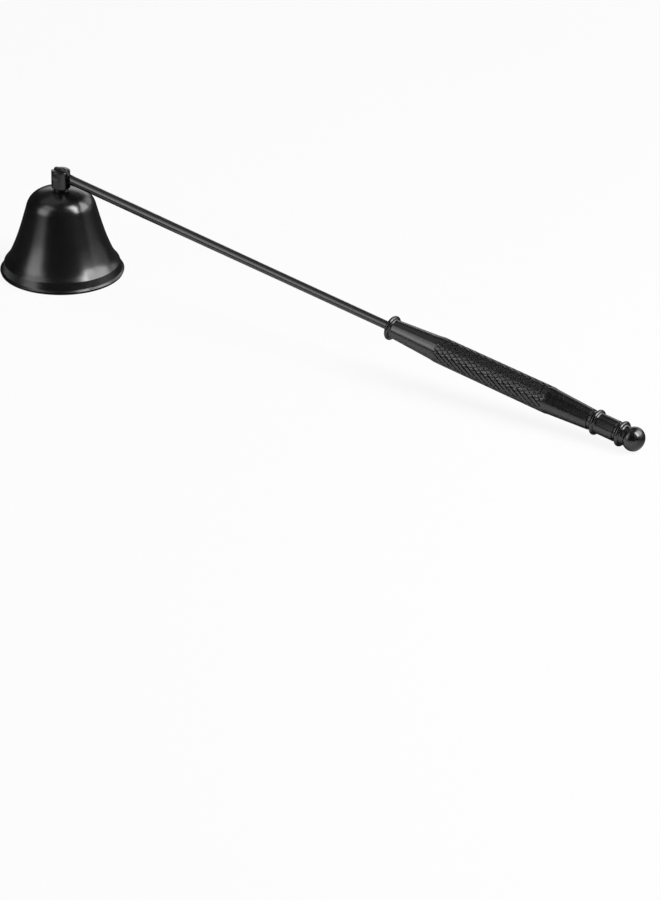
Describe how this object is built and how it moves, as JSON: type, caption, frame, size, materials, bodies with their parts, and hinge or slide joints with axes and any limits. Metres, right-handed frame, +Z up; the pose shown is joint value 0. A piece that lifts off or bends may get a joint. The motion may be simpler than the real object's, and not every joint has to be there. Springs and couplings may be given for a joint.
{
  "type": "candle snuffer",
  "caption": "Candle snuffer: a flared bell on a slotted post, riveted to a slender rod so that it tips, with a knurled handle that ends in a ball.",
  "frame": {"origin": "middle of the bell's mouth, on the plane of its rim", "axes": "+Z up along the bell's axis, +X along the rod towards the handle, so the hinge axis lies along Y"},
  "size_m": [0.248, 0.0402, 0.0367],
  "materials": {
    "black_coat": "satin",
    "black_turned": "satin",
    "black_oxide": "matte"
  },
  "bodies": {
    "head": {"bell": "black_coat", "clevis_post": "black_coat", "crown_washer": "black_oxide", "crown_lock_washer": "black_oxide", "crown_nut": "black_oxide", "pivot_rivet": "black_coat"},
    "handle": {"rod": "black_coat", "front_collar": "black_turned", "grip": "black_turned", "finial": "black_turned"}
  },
  "joints": [
    {"name": "bell_pivot", "type": "hinge", "parent": "head", "child": "handle", "pos_m": [0, 0, 0.0337], "axis": [0, -1, 0], "range_deg": [-18, 213]}
  ]
}
